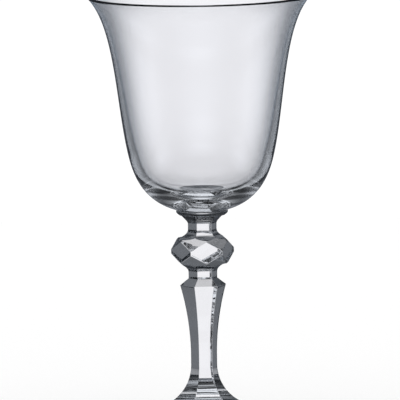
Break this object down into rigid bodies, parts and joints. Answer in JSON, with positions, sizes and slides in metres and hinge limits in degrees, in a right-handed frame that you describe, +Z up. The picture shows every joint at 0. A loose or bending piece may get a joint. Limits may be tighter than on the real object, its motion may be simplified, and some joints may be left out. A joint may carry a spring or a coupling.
{
  "type": "stemmed wine glass",
  "caption": "Clear crystal wine glass: bell-shaped bowl with a flared rim, round collar, cut six-sided knop and baluster stem, round foot.",
  "frame": {"origin": "middle of the plane that the foot stands on", "axes": "+Z up along the glass's axis, towards the rim; one flat of the six-sided stem faces -Y"},
  "size_m": [0.086, 0.086, 0.17],
  "materials": {
    "blown_crystal": "clear, fire-polished",
    "cut_crystal": "clear, cut and polished",
    "foot_crystal": "clear, polished"
  },
  "bodies": {
    "root": {"bowl": "blown_crystal", "collar": "blown_crystal", "knop": "cut_crystal", "stem": "cut_crystal", "foot": "foot_crystal"}
  },
  "joints": []
}
